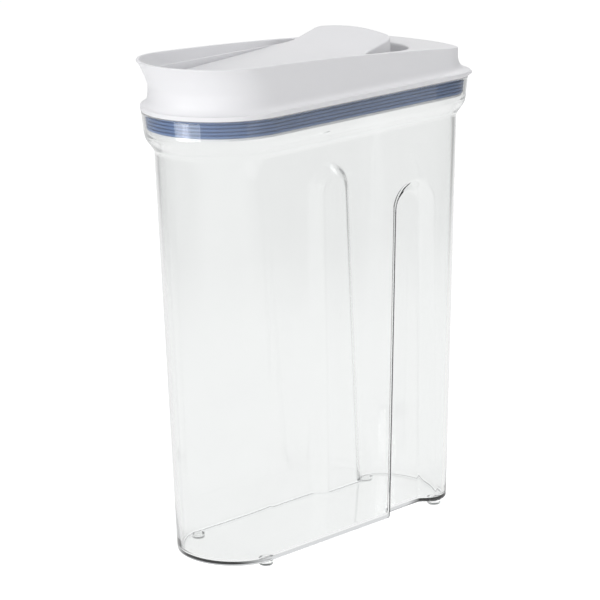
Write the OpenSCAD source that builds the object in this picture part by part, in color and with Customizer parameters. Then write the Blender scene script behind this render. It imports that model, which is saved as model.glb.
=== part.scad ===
// Clear cereal container with a press-on lid and a see-saw pouring flap.
// Axes: front (pouring side) towards -Y, width along X, height along Z.
// The feet stand on z = 0, and the origin is the centre of the overall footprint.

/* [Container body] */
// Width of the body at its base
base_w = 68.8; // [62:0.2:76]
// Length of the body at its base, from the round front to the rear
base_l = 198; // [186:0.2:216]
// How far the middle of the base lies in front of the origin
base_shift = 1.1; // [0:0.1:2]
// Height from the underside of the body to its rim
body_h = 267.8; // [250:0.2:280]
// Depth of the rounded front at the base
front_depth = 31.3; // [26:0.1:34]
// Radius of the rear corners at the base
corner_r = 13; // [10:0.5:18]
// Outward lean of the side walls, in degrees
draft = 1.17; // [0.5:0.01:1.5]
// Outward lean of the front and the rear, in degrees
end_draft = 1.96; // [1:0.01:2.5]
// Thickness of the walls
wall = 2.2; // [1.6:0.1:3]
// Thickness of the floor
floor_t = 2; // [1.6:0.1:4]
// Rounding of the bottom edge
bottom_r = 1.6; // [0.8:0.1:2.5]

/* [Collar] */
// How far the collar stands out from the wall at its rim
collar_out = 6.4; // [5:0.1:7]
// How far the foot of the collar stands out from the wall
collar_foot_out = 5.2; // [4:0.1:6]
// Height of the straight part of the collar
collar_h = 14; // [12:0.5:16]
// Height of the rounded shoulder below the collar
shoulder_h = 11; // [8:0.5:16]
// Thickness of the collar
collar_wall = 1.8; // [1.6:0.1:2.2]

/* [Grip recesses] */
// Width of each recess at the base
recess_w = 45; // [40:0.5:48]
// Width of each recess at the start of its arch
recess_arch_w = 37.8; // [32:0.2:39]
// Depth of each recess
recess_depth = 6.8; // [4:0.1:8]
// Width of the sloping sides of each recess
recess_slope = 9.5; // [7:0.5:12]
// Height of the arch top above the underside of the body
recess_top = 211.2; // [180:0.2:220]
// Distance from the rear of the base to the middle of the recesses
recess_back = 43.9; // [42:0.1:48]

/* [Feet] */
// Height of each foot
foot_h = 3.2; // [2:0.1:4]
// Diameter of each foot
foot_d = 8.6; // [6:0.1:10]
// Rounding of each foot's lower edge
foot_r = 1.5; // [0.5:0.1:1.5]
// Distance from the side of the base in to the middle of a foot
foot_inset = 4.6; // [4.4:0.1:8]
// Distance from the start of the rounded front to the middle of the front feet
foot_front = 1; // [0:0.1:5]
// Distance from the rear of the base to the middle of the rear feet
foot_back = 19.4; // [18:0.1:30]

/* [Lid shell] */
// Gap between the rim of the body and the flange of the lid
seat_gap = 0.5; // [0.3:0.1:1]
// Overhang of the flange beyond the collar rim
flange_over = 0.25; // [0:0.05:1]
// Height of the upright edge of the flange
flange_h = 2.6; // [2:0.1:4]
// How far the upright wall is set in from the flange edge
lid_inset = 4.5; // [3.5:0.1:5]
// The same at the rear
rear_inset = 7.2; // [5.5:0.1:7.4]
// Height of the hollow fillet between the flange and the wall at the rear
rear_fillet_h = 9.8; // [8:0.1:11]
// Thickness of the wall at the rim
lid_wall = 2; // [1.6:0.1:2.4]
// Height of the front rim above the seat of the lid
front_rise = 30; // [26:0.5:34]
// How much further the wall is set in at its front
waist_extra = 0.2; // [0:0.05:0.5]
// How far the front of the rim flares out past the flange
lip_out = 2.65; // [1:0.05:4]
// Distance from the origin forward to where the rim starts to round in
rim_round_y = 80; // [74:0.5:84]
// Fall of the rim line at its front end, per unit of length
rim_fall = 0.021; // [0:0.001:0.04]
// Radius of the long curve of the rim line
rim_curve_r = 2690; // [2000:10:4000]
// Reach of the lift lip behind the flange
lift_lip = 2.9; // [2:0.1:4]
// Height of the tip of the lift lip above the seat of the lid
lip_rise = 2.4; // [2:0.1:2.6]
// Thickness of the rear deck
deck_t = 2.2; // [1.8:0.1:3]
// Distance between the lid wall and the ends of the deck's curved front edge
deck_arc_gap = 1.8; // [1.4:0.1:2.4]
// Distance from the origin back to the centre of that curve
deck_arc_y = 33.2; // [30:0.1:36]
// Width of the ledge inside the wall
ledge_w = 0.8; // [0.4:0.1:1]
// Height of that ledge above the seat of the lid
ledge_rise = 20.5; // [19:0.1:21.5]
// Least depth of that ledge below the rim
ledge_drop = 3.5; // [3:0.1:5]

/* [Lid liner and gasket] */
// Thickness of the liner plate
plate_t = 2.4; // [2:0.1:3]
// Height of the underside of the plate above the seat of the lid
plate_rise = 2; // [1.5:0.1:3]
// Clearance between the edge of the plate and the bore of the lid
plate_clearance = 0.15; // [0.05:0.05:0.25]
// Thickness of the skirt that carries the gasket
skirt_t = 1.8; // [1.4:0.1:2.2]
// Thickness of the gasket, ribs included
gasket_t = 2.8; // [2.4:0.1:3.2]
// Height of the gasket
gasket_h = 10.4; // [8:0.1:11]
// Number of ribs on the gasket
rib_count = 5; // [3:1:6]
// Depth of the grooves between the ribs
rib_depth = 0.9; // [0.5:0.1:1.2]
// Clearance between the gasket ribs and the collar
gasket_clearance = 0.3; // [0.2:0.05:0.5]
// Height of the retaining bead below the gasket
bead_h = 1.4; // [1:0.1:2]

/* [Pouring flap] */
// Gap between the sides of the flap and the ledge in the lid
flap_side_gap = 1.2; // [1:0.1:3]
// Gap between the front of the flap and the lid wall
flap_front_gap = 1.6; // [1:0.1:3]
// Height of the flap panel's edge above the seat of the lid, at the origin
flap_rise = 20.1; // [18:0.1:21]
// Rise of the flap panel towards the rear, per unit of length
flap_slope = 0.058; // [0.03:0.001:0.07]
// Crown of the flap panel across its width
flap_crown = 1; // [0:0.1:2]
// Thickness of the flap skin
flap_t = 2.2; // [1.8:0.1:2.6]
// Depth of the flap panel's turned-down edge
flap_edge_h = 4.2; // [3.5:0.1:4.5]
// Rounding of the flap's top edges
flap_edge_r = 1.6; // [0.8:0.1:2]
// How much narrower the raised thumb tail is than the panel, on each side
tail_step = 7; // [6:0.1:10]
// Distance from the origin back to the end of the tail's sides
tail_end = 43; // [40:0.1:45]
// Radius of the tail's rear corners
tail_corner_r = 5; // [4:0.5:8]
// Bow of the tail's rear edge
tail_bow = 1.5; // [0:0.1:3]
// Distance from the origin back to where the tail starts to rise
tail_start = 10; // [8:0.5:12]
// Slope of the tail's edges beyond that of the panel
tail_slope = 0.22; // [0.15:0.01:0.26]
// Length over which the slope changes
tail_bend = 6; // [3:0.5:10]
// Crown of the tail's end across its width
tail_crown = 2.1; // [1:0.1:4]
// Height of the lower edge of the tail's walls above the seat of the lid
tail_floor = 19.6; // [18.5:0.1:20]

/* [Spout and seal] */
// Distance between the lid wall and the sides of the spout opening
spout_side_gap = 9; // [8:0.5:14]
// Distance from the origin forward to the rear edge of the spout opening
spout_rear = 22; // [18:0.5:30]
// Distance between the lid wall and the front edge of the spout opening
spout_front_gap = 8; // [7:0.5:12]
// Thickness of the raised rim round the spout opening
coaming_t = 1.8; // [1.4:0.1:2.2]
// Height of that rim above the liner plate
coaming_h = 4; // [3:0.1:5]
// Width of the flap seal
seal_w = 3.4; // [2.8:0.1:4]
// Thickness of the flap seal
seal_t = 1.8; // [1.4:0.1:2.2]
// Gap between the closed flap seal and the spout rim
seal_gap = 0.3; // [0.2:0.05:0.6]
// Thickness of the flap's inner plate
inner_plate_t = 1.6; // [1.2:0.1:2]

/* [Hinge] */
// Diameter of the hinge axle
axle_d = 3; // [2.5:0.1:4]
// Running clearance between the axle and the flap
axle_clearance = 0.06; // [0.02:0.01:0.1]
// Distance from the origin back to the axle
axle_y = 18; // [16:0.1:20]
// Height of the axle above the seat of the lid
axle_rise = 16; // [14.5:0.1:16.5]
// Distance from the middle to the inner face of each ear
ear_x = 19; // [14:0.5:20]
// Thickness of each ear
ear_t = 3.2; // [2.5:0.1:4]
// Outer radius of the ears and of the flap's hinge eyes
eye_r = 4; // [3.5:0.1:4.2]
// Gap between an ear and the hinge eye beside it
ear_gap = 0.4; // [0.3:0.1:1]

/* [Hidden] */
$fn = 64;

lean = tan(draft);
end_lean = tan(end_draft);
base_rear = base_l / 2 - base_shift;
front_y = front_depth - base_l / 2 - base_shift;
recess_y = base_rear - recess_back;
front_steps = 12;
corner_steps = 4;
rear_steps = 3;
corner_sweep = 62;
overlap = 0.5;

seat_z = body_h + seat_gap;
seat_w = base_w / 2 + seat_z * lean + collar_out + flange_over;
seat_front = front_depth + seat_z * end_lean + collar_out + flange_over;
seat_rear = base_rear + seat_z * end_lean + collar_out + flange_over;
seat_corner_r = corner_r + seat_z * lean + collar_out + flange_over;

arch_r = recess_arch_w / 2;
arch_z = recess_top - arch_r;

// Smooth step from 0 to 1
function smooth(t) = let (c = min(1, max(0, t))) c * c * (3 - 2 * c);

// Half of a plan outline, from the middle of the front round +X to the middle of the rear:
// a half-elliptical front, straight sides, round corners and a shallow curved rear.
// rear_lip pushes the rear outward, fading to nothing where the corners begin.
function half_plan(w, yf, front, rear, r, rear_lip = 0, side = []) =
    let (
        rb = (w - r + r * cos(corner_sweep)) / cos(corner_sweep),
        yb = rear - rb,
        xc = w - r,
        yc = yb + (rb - r) * sin(corner_sweep)
    )
    concat(
        [for (k = [0:front_steps]) let (t = 90 * k / front_steps) [w * sin(t), yf - front * cos(t)]],
        [for (y = side) [w, y]],
        [for (k = [0:corner_steps])
            let (t = corner_sweep * k / corner_steps, p = r + rear_lip * smooth(t / 45))
            [xc + p * cos(t), yc + p * sin(t)]],
        [for (k = [1:rear_steps])
            let (t = corner_sweep + (90 - corner_sweep) * k / rear_steps, p = rb + rear_lip)
            [p * cos(t), yb + p * sin(t)]]
    );

// The same for the drafted body at height z, drawn out by grow
function body_half(z, grow, side = []) =
    half_plan(base_w / 2 + z * lean + grow, front_y, front_depth + z * end_lean + grow,
              base_rear + z * end_lean + grow, corner_r + z * lean + grow, 0, side);

// Whole outline, from its half
function mirrored(half) = concat(half, [for (i = [len(half) - 2:-1:1]) [-half[i][0], half[i][1]]]);

// Solid through a stack of rings of equal length. The stack is closed by joining its last ring
// to its first, or by the faces in cap, which list the points of a ring.
module loft(rings, looped = false, cap = []) {
    n = len(rings[0]);
    m = len(rings);
    last = looped ? m - 1 : m - 2;
    sides = [for (j = [0:last], i = [0:n - 1])
        let (a = j * n, b = ((j + 1) % m) * n, k = (i + 1) % n)
        [a + i, b + i, b + k, a + k]];
    ends = looped ? [] : concat(
        cap, [for (f = cap) [for (i = [len(f) - 1:-1:0]) (m - 1) * n + f[i]]]);
    polyhedron(points = [for (r = rings) each r], faces = concat(sides, ends), convexity = 8);
}

// Everything is drawn from the underside of the body and stands on the feet
module on_feet() {
    translate([0, 0, foot_h]) children();
}

// ---- container body ----

// Half width of a grip recess at height z
function recess_half(z) =
    let (t = min(1, z / arch_z)) (recess_w * (1 - t) + recess_arch_w * t) / 2;

// Inward depth of a grip recess at a point of the side wall
function dent(y, z) =
    let (
        from_edge = z < arch_z
            ? recess_half(z) - abs(y - recess_y)
            : arch_r - norm([y - recess_y, z - arch_z])
    )
    recess_depth * smooth(from_edge / recess_slope);

recess_stations = [-1, -0.86, -0.72, -0.58, -0.3, 0.3, 0.58, 0.72, 0.86, 1];

// Ring of the body at height z: flare is how far the outside stands out from the drafted wall,
// and inset how far the ring lies inside that outside surface.
function body_ring(z, flare, inset) =
    let (stations = [for (s = recess_stations) recess_y + s * recess_half(z)])
    [for (p = mirrored(body_half(z, flare - inset, stations)))
        let (x = abs(p[0]) - dent(p[1], z)) [p[0] < 0 ? -x : x, p[1], z]];

// Heights and flares of the shoulder and collar, from the shoulder's foot to the rim
collar_foot_z = body_h - collar_h;
shoulder_z = collar_foot_z - shoulder_h;
collar_bend_z = collar_foot_z + 1.5;
collar_bend_out = collar_foot_out + 0.3;
function collar_profile() = concat(
    [for (t = [0, 0.15, 0.3, 0.45, 0.6, 0.75, 0.88, 1])
        [shoulder_z + shoulder_h * t, collar_foot_out * smooth(t)]],
    [[collar_bend_z, collar_bend_out], [body_h, collar_out]]);

arch_levels = [0, 0.3, 0.55, 0.76, 0.92, 1.03];

module container_body() {
    rim_round = 0.5;
    outer = concat(
        [body_ring(0, 0, bottom_r), body_ring(bottom_r * 0.3, 0, bottom_r * 0.3),
         body_ring(bottom_r, 0, 0)],
        [for (t = arch_levels) body_ring(arch_z + arch_r * t, 0, 0)],
        [for (p = collar_profile()) body_ring(p[0] - (p[0] == body_h ? rim_round : 0), p[1], 0)],
        [body_ring(body_h, collar_out, rim_round)]);
    inner = concat(
        [body_ring(body_h, collar_out, collar_wall),
         body_ring(collar_bend_z, collar_bend_out, collar_wall)],
        [for (i = [len(collar_profile()) - 3:-1:0])
            let (p = collar_profile()[i]) body_ring(p[0] + (i > 0 ? wall * 0.4 : 0), p[1], wall)],
        [for (i = [len(arch_levels) - 1:-1:0]) body_ring(arch_z + arch_r * arch_levels[i], 0, wall)],
        [body_ring(floor_t + bottom_r, 0, wall), body_ring(floor_t, 0, wall + bottom_r)]);
    color([0.86, 0.9, 0.9, 0.4]) on_feet() {
        loft(concat(outer, inner), cap = [[for (i = [0:len(outer[0]) - 1]) i]]);
        for (x = [-1, 1], y = [front_y - foot_front, base_rear - foot_back])
            translate([x * (base_w / 2 - foot_inset), y, -foot_h]) foot();
    }
}

// Round button foot with a flat base
module foot() {
    rotate_extrude() {
        square([foot_d / 2 - foot_r, foot_h + overlap]);
        translate([0, foot_r]) square([foot_d / 2, foot_h + overlap - foot_r]);
        translate([foot_d / 2 - foot_r, foot_r]) intersection() {
            circle(foot_r);
            translate([0, -foot_r]) square(foot_r);
        }
    }
}

// ---- lid shell ----

front_tip = front_y - seat_front - lip_out;
lid_stations = [for (k = [1:5]) front_y + k * (seat_rear - seat_corner_r - front_y) / 6];

// Height of the rim line at a distance y along the lid
function rim_z(y) =
    let (t = y - front_tip) seat_z + front_rise - rim_fall * t - t * t / (2 * rim_curve_r);

wall_w = seat_w - lid_inset;
wall_rear = seat_rear - rear_inset;
wall_corner_r = seat_corner_r - lid_inset;
front_inset = lid_inset + waist_extra;
fillet_top = flange_h + lid_inset + 0.9;
rear_fillet_top = flange_h + rear_fillet_h;
waist_h = 14;

wall_in = wall_w - lid_wall;

// Part of a fillet still standing out at height h, from 1 at its foot to 0 at its top
function fillet(h, foot, top) = let (u = (top - min(top, max(foot, h))) / (top - foot)) 1 - sqrt(1 - u * u);

// Ring of the lid's outside at height h above the seat, below the waist
function lower_ring(h) =
    let (
        side = lid_inset * (1 - fillet(h, flange_h, fillet_top)),
        front = front_inset * (1 - fillet(h, flange_h, waist_h)),
        rear = rear_inset * (1 - fillet(h, flange_h, rear_fillet_top)),
        lip = lift_lip * fillet(h, lip_rise, rear_fillet_top) * smooth((h + 0.6) / (lip_rise + 0.6))
    )
    [for (p = mirrored(half_plan(seat_w - side, front_y, seat_front - front, seat_rear - rear,
                                 seat_corner_r - side, lip, lid_stations)))
        [p[0], p[1], seat_z + h]];

// Ring of the lid's wall between the waist (t = 0) and the rim line (t = 1)
function upper_ring(t, inset = 0, drop = 0) =
    let (
        f = 0.6 * t + 0.4 * t * t,
        yf = front_y * (1 - f) - rim_round_y * f,
        waist = seat_front - front_inset,
        reach = -front_tip - rim_round_y,
        front = waist * (1 - f) + reach * f - inset
    )
    [for (p = mirrored(half_plan(wall_w - inset, yf, front, wall_rear - inset, wall_corner_r - inset,
                                 0, lid_stations)))
        [p[0], p[1], (seat_z + waist_h) * (1 - t) + (rim_z(p[1]) - drop) * t]];

// Ring of the lid's straight inner wall at height h above the seat
function inner_ring(h, inset) =
    [for (p = mirrored(half_plan(wall_w - inset, front_y, seat_front - front_inset - inset,
                                 wall_rear - inset, wall_corner_r - inset, 0, lid_stations)))
        [p[0], p[1], seat_z + h]];

// Ring of the bore that the liner sits in, at height h above the seat
function bore_ring(h) =
    [for (p = mirrored(skirt_half(plate_clearance, lid_stations))) [p[0], p[1], seat_z + h]];

// Ring at the ledge inside the wall: level at the front, then dipping below the deck
function ledge_ring(inset, lift = 0) =
    [for (p = upper_ring((ledge_rise - waist_h) / (front_rise - waist_h), inset))
        [p[0], p[1], min(seat_z + ledge_rise, rim_z(p[1]) - ledge_drop) + lift]];

plate_top = plate_rise + plate_t;

module lid_shell() {
    rim_round = 0.6;
    rings = concat(
        [lower_ring(0)],
        [for (h = [0.8, 1.7]) lower_ring(h)],
        [for (h = [0, 0.5, 1.4, 2.8, 4.2]) lower_ring(flange_h + h)],
        [for (t = [0, 0.25, 0.5, 0.75, 1]) lower_ring(fillet_top * (1 - t) + waist_h * t)],
        [for (t = [0.25, 0.5, 0.75]) upper_ring(t, 0, rim_round)],
        [upper_ring(1, 0, rim_round), upper_ring(1, rim_round, 0),
         upper_ring(1, lid_wall - rim_round, 0), upper_ring(1, lid_wall, rim_round)],
        [upper_ring(0.8, lid_wall, rim_round), ledge_ring(lid_wall, 0.3), ledge_ring(lid_wall + ledge_w),
         inner_ring(plate_top + lid_inset, lid_wall + ledge_w), inner_ring(plate_top, lid_wall + ledge_w),
         bore_ring(plate_top), bore_ring(0)]);
    color([0.95, 0.95, 0.96]) on_feet() {
        loft(rings, looped = true);
        rear_deck();
        deck_apron();
    }
}

// Outline of the space inside the lid's wall, drawn out by grow
module inside_wall(grow) {
    polygon(mirrored(half_plan(wall_in + grow, front_y,
                               seat_front - front_inset - lid_wall + grow,
                               wall_rear - lid_wall + grow, wall_corner_r - lid_wall + grow)));
}

// Slab between two curves that follow the rim line, for y from y0 to y1
module rim_slab(y0, y1, top, bottom) {
    steps = 12;
    ys = [for (i = [0:steps]) y0 + (y1 - y0) * i / steps];
    rotate([90, 0, 90]) linear_extrude(2 * seat_w, center = true)
        polygon(concat([for (y = ys) [y, rim_z(y) - top]],
                       [for (i = [steps:-1:0]) [ys[i], rim_z(ys[i]) - bottom]]));
}

// Area behind the arched front edge of the deck, moved back by grow
module behind_arc(grow) {
    r = wall_in - deck_arc_gap + grow;
    steps = 32;
    difference() {
        translate([-seat_w, deck_arc_y]) square([2 * seat_w, seat_rear - deck_arc_y]);
        polygon(concat([for (k = [0:steps]) let (t = 180 * k / steps)
                           [r * cos(t), deck_arc_y + r * sin(t)]],
                       [[-r, deck_arc_y - 1], [r, deck_arc_y - 1]]));
    }
}

// Deck behind the flap, flush with the rim, with an arched front edge
module rear_deck() {
    intersection() {
        rim_slab(deck_arc_y, seat_rear, 0.15, deck_t);
        translate([0, 0, seat_z]) linear_extrude(front_rise) intersection() {
            inside_wall(lid_wall / 2);
            behind_arc(0);
        }
    }
}

// Curved wall that closes the finger pocket below the deck's front edge
module deck_apron() {
    intersection() {
        rim_slab(deck_arc_y, seat_rear, deck_t / 2, front_rise);
        translate([0, 0, seat_z + plate_top]) linear_extrude(front_rise) intersection() {
            inside_wall(lid_wall / 2);
            difference() {
                behind_arc(0);
                behind_arc(deck_t);
            }
            translate([-seat_w, deck_arc_y + 5]) square([2 * seat_w, seat_rear]);
        }
    }
}

// ---- liner and gasket ----

gasket_top = seat_z;
gasket_bottom = gasket_top - gasket_h;

// How far the ribs of the gasket stand out from the drafted wall at height z
function gasket_out(z) =
    collar_bend_out + (z - collar_bend_z) * (collar_out - collar_bend_out) / (body_h - collar_bend_z)
    - collar_wall - gasket_clearance;

// Outline of the skirt's outside, drawn out by grow
function skirt_half(grow, side = []) =
    body_half(gasket_bottom, gasket_out(gasket_bottom) - gasket_t + grow, side);
module skirt_outline(grow) {
    polygon(mirrored(skirt_half(grow)));
}

module lid_liner() {
    color([0.93, 0.93, 0.94]) on_feet() {
        difference() {
            translate([0, 0, seat_z + plate_rise]) linear_extrude(plate_t)
                skirt_outline(0);
            translate([0, 0, seat_z]) linear_extrude(front_rise) spout_outline(0);
        }
        translate([0, 0, seat_z + plate_rise]) linear_extrude(plate_t + coaming_h) difference() {
            spout_outline(coaming_t);
            spout_outline(0);
        }
        translate([0, 0, gasket_bottom - bead_h])
            linear_extrude(gasket_h + bead_h + plate_rise + overlap) difference() {
                skirt_outline(0);
                skirt_outline(-skirt_t);
            }
        translate([0, 0, gasket_bottom - bead_h]) linear_extrude(bead_h) difference() {
            skirt_outline(gasket_t - rib_depth);
            skirt_outline(-skirt_t);
        }
        for (side = [-1, 1]) ear(side);
    }
}

// Opening that the cereal pours through, drawn out by grow
module spout_outline(grow) {
    w = wall_in - spout_side_gap + grow;
    front = seat_front - front_inset - lid_wall - spout_front_gap;
    r = 8 + grow;
    polygon(concat(
        [for (k = [0:2 * front_steps]) let (t = 90 * k / front_steps - 90)
            [w * sin(t), front_y - (front + grow) * cos(t)]],
        [for (k = [0:corner_steps]) let (t = 90 * k / corner_steps)
            [w - r + r * cos(t), -spout_rear + grow - r + r * sin(t)]],
        [for (k = [0:corner_steps]) let (t = 90 + 90 * k / corner_steps)
            [r - w + r * cos(t), -spout_rear + grow - r + r * sin(t)]]));
}

// Upright ear that holds one end of the axle
module ear(side) {
    x0 = side > 0 ? ear_x : -ear_x - ear_t;
    translate([x0, axle_y, seat_z]) rotate([90, 0, 90]) linear_extrude(ear_t) difference() {
        union() {
            translate([0, axle_rise]) circle(eye_r);
            translate([-eye_r, plate_top - overlap]) square([2 * eye_r, axle_rise - plate_top + overlap]);
        }
        translate([0, axle_rise]) circle(d = axle_d);
    }
}

module lid_gasket() {
    pitch = gasket_h / rib_count;
    ribs = [for (k = [0:rib_count - 1], s = [[0, 1], [0.25, 0], [0.75, 0]])
        [gasket_bottom + (k + s[0]) * pitch, s[1] * rib_depth]];
    rings = concat(
        [for (p = concat(ribs, [[gasket_top, rib_depth]]))
            [for (q = mirrored(body_half(p[0], gasket_out(p[0]) - p[1]))) [q[0], q[1], p[0]]]],
        [for (z = [gasket_top, gasket_bottom]) [for (q = mirrored(skirt_half(0))) [q[0], q[1], z]]]);
    color([0.32, 0.39, 0.52]) on_feet() loft(rings, looped = true);
}

// ---- flap ----

// Height above the seat of the flap's edge at y
function flap_edge(y) =
    let (t = y - tail_start)
    flap_rise + flap_slope * y + tail_slope * (t + norm([t, tail_bend])) / 2;

// Height above the seat of the flap's top surface at u (-1 to 1 across its width) and y
function flap_top(u, y) =
    let (tail = smooth((y - tail_start) / tail_corner_y))
    flap_edge(y) + (1 - u * u) * (flap_crown + (tail_crown - flap_crown) * tail);

flap_front = seat_front - front_inset - lid_wall - ledge_w - flap_front_gap;
flap_half_w = wall_in - ledge_w - flap_side_gap;
tail_half_w = flap_half_w - tail_step;
tail_corner_y = tail_end - tail_corner_r;
neck_y0 = tail_start - 3;
neck_y1 = tail_start + 12;

// Half width of the flap at y, behind its rounded front
function flap_w(y) =
    let (t = max(0, min(1, (y - tail_corner_y) / tail_corner_r)))
    flap_half_w + (tail_half_w - flap_half_w) * smooth((y - neck_y0) / (neck_y1 - neck_y0))
    - tail_corner_r * (1 - sqrt(1 - t * t));

// Stations along the flap: distance, half width, and whether the flap is hollow there
flap_stations = concat(
    [for (t = [6, 14, 24, 36, 50, 64, 78, 90])
        [front_y - flap_front * cos(t), flap_half_w * sin(t), t > 20]],
    [for (y = [front_y / 2, -15, 0, 5, 8, 11, 14, 17, 20, 23, 27, 32]) [y, flap_w(y), true]],
    [for (t = [0, 30]) let (y = tail_corner_y + tail_corner_r * sin(t)) [y, flap_w(y), true]],
    [for (t = [40, 65, 90]) let (y = tail_corner_y + tail_corner_r * sin(t)) [y, flap_w(y), false]]);

// Cross-section of the flap at a station: crowned top, rounded edges and turned-down sides,
// then back along the inside
flap_steps = 6;
function flap_section(s) =
    let (
        y = s[0],
        w = s[1],
        round_x = min(flap_edge_r, w / 3),
        wt = w - round_x,
        wi = w - min(flap_t, w / 2),
        foot = min(flap_edge(y) - flap_edge_h, tail_floor),
        us = [for (k = [-flap_steps:flap_steps]) k / flap_steps],
        side = [[wt + round_x * 0.71, flap_top(1, y) - flap_edge_r * 0.29],
                [w, flap_top(1, y) - flap_edge_r], [w, foot]],
        top = [for (u = us) [u * wt, flap_top(u * wt / w, y)]],
        inside = [for (u = us) s[2] ? [u * wi, flap_top(u * wi / w, y) - flap_t] : [0.9 * u * wi, foot]]
    )
    [for (p = concat(top, side, [[wi, foot]],
                     [for (k = [2 * flap_steps:-1:0]) inside[k]], [[-wi, foot]],
                     [for (k = [2:-1:0]) [-side[k][0], side[k][1]]]))
        [p[0], y + tail_bow * smooth((y - neck_y1) / (tail_end - neck_y1)) * (1 - pow(p[0] / w, 2)),
         seat_z + p[1]]];

// Faces that close the end of the flap: a strip between its top and its inside, and the two edges
flap_n = 2 * flap_steps;
flap_end = concat(
    [for (k = [0:flap_n - 1]) [k, k + 1, 2 * flap_n + 4 - k, 2 * flap_n + 5 - k]],
    [[for (k = [0:5]) flap_n + k],
     concat([0], [for (k = [5:9]) 2 * flap_n + k])]);

// Slab under the flap from height floor_h up into the flap's skin, for y from y0 to y1
module flap_slab(floor_h, y0, y1) {
    steps = 8;
    ys = [for (i = [0:steps]) y0 + (y1 - y0) * i / steps];
    rotate([90, 0, 90]) linear_extrude(2 * seat_w, center = true)
        polygon(concat([for (y = ys) [y, seat_z + flap_edge(y) - flap_t / 2]],
                       [[y1, seat_z + floor_h], [y0, seat_z + floor_h]]));
}

module flap_cover() {
    color([0.95, 0.95, 0.96]) on_feet() {
        loft([for (s = flap_stations) flap_section(s)], cap = flap_end);
        intersection() {
            flap_slab(carrier_z, front_y - flap_front, 0);
            translate([0, 0, seat_z]) linear_extrude(front_rise) difference() {
                spout_outline(-carrier_inset);
                spout_outline(-carrier_inset - flap_t);
            }
        }
        for (side = [-1, 1]) hinge_eye(side);
    }
}

// Eye under the flap that turns on the axle, beside one ear
module hinge_eye(side) {
    x0 = side > 0 ? ear_x - ear_gap - ear_t : -ear_x + ear_gap;
    translate([x0, axle_y, seat_z]) rotate([90, 0, 90]) linear_extrude(ear_t) difference() {
        union() {
            translate([0, axle_rise]) circle(eye_r);
            polygon([[-eye_r, axle_rise], [eye_r, axle_rise],
                     [eye_r, flap_top(0.5, axle_y + eye_r) - flap_t / 2],
                     [-eye_r, flap_top(0.5, axle_y - eye_r) - flap_t / 2]]);
        }
        translate([0, axle_rise]) circle(d = axle_d + 2 * axle_clearance);
    }
}

seal_bottom = plate_top + coaming_h + seal_gap;
seal_top = seal_bottom + seal_t;
seal_grow = (coaming_t + seal_w) / 2;
carrier_z = seal_top + inner_plate_t;
carrier_inset = 2;

// Stiff plate under the flap that carries the seal, located by a lip inside the cover's carrier rib
module flap_inner_plate() {
    lip_t = 1.2;
    color([0.92, 0.92, 0.93]) on_feet() {
        translate([0, 0, seat_z + seal_top]) linear_extrude(inner_plate_t) spout_outline(seal_grow);
        translate([0, 0, seat_z + seal_top]) linear_extrude(inner_plate_t + lip_t / 2) difference() {
            spout_outline(-carrier_inset - flap_t - 0.1);
            spout_outline(-carrier_inset - flap_t - 0.1 - lip_t);
        }
    }
}

module flap_seal() {
    color([0.32, 0.39, 0.52]) on_feet() translate([0, 0, seat_z + seal_bottom])
        linear_extrude(seal_t) difference() {
            spout_outline(seal_grow);
            spout_outline(seal_grow - seal_w);
        }
}

module hinge_axle() {
    length = 2 * (ear_x + ear_t);
    color([0.75, 0.76, 0.78]) on_feet() translate([-length / 2, axle_y, seat_z + axle_rise])
        rotate([0, 90, 0]) cylinder(h = length, d = axle_d);
}

container_body();
lid_shell();
lid_liner();
lid_gasket();
flap_cover();
flap_inner_plate();
flap_seal();
hinge_axle();
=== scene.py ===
"""Dresses a clear cereal container with a press-on lid and a see-saw pouring flap: materials, fine
meshes for the moulded pieces, a pale studio and the camera."""

import math

import bpy
from bpy.props import FloatProperty, FloatVectorProperty, IntProperty, PointerProperty
from bpy.types import Operator, Panel, PropertyGroup
from mathutils import Matrix, Vector

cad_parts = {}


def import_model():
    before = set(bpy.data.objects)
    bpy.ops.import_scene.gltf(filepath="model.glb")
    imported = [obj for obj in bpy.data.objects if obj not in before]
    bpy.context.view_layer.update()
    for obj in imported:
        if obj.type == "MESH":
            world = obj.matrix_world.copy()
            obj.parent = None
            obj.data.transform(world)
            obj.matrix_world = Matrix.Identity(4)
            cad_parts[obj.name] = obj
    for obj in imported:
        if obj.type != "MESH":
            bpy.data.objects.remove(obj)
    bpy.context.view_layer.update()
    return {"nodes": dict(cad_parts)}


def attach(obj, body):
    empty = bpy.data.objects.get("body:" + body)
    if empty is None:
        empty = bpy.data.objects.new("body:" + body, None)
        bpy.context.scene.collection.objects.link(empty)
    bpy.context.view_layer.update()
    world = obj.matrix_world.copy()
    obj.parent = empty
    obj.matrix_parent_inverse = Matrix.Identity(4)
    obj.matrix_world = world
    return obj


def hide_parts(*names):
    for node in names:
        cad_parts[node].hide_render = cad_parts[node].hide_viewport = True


bl_info = {
    "name": "Cereal Container",
    "version": (1, 0, 0),
    "blender": (4, 5, 0),
    "location": "3D View > Sidebar > Container",
    "description": "Builds a clear cereal container with a flip spout lid in a pale studio",
    "category": "Add Mesh",
}

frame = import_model()
MM = 0.001


def colour(name, description, value):
    return FloatVectorProperty(
        name=name, description=description, subtype="COLOR", size=3, min=0, max=1, default=value
    )


def length(name, description, value, low=0.0):
    """A size in metres, given in millimetres."""
    return FloatProperty(
        name=name, description=description, default=value * MM, min=low * MM, unit="LENGTH", precision=5
    )


def factor(name, description, value, high=1.0):
    return FloatProperty(
        name=name, description=description, default=value, min=0, max=high, subtype="FACTOR"
    )


def angle(name, description, value):
    """An angle, given in degrees."""
    return FloatProperty(
        name=name, description=description, default=math.radians(value), subtype="ANGLE"
    )


# ---- settings ----


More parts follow.
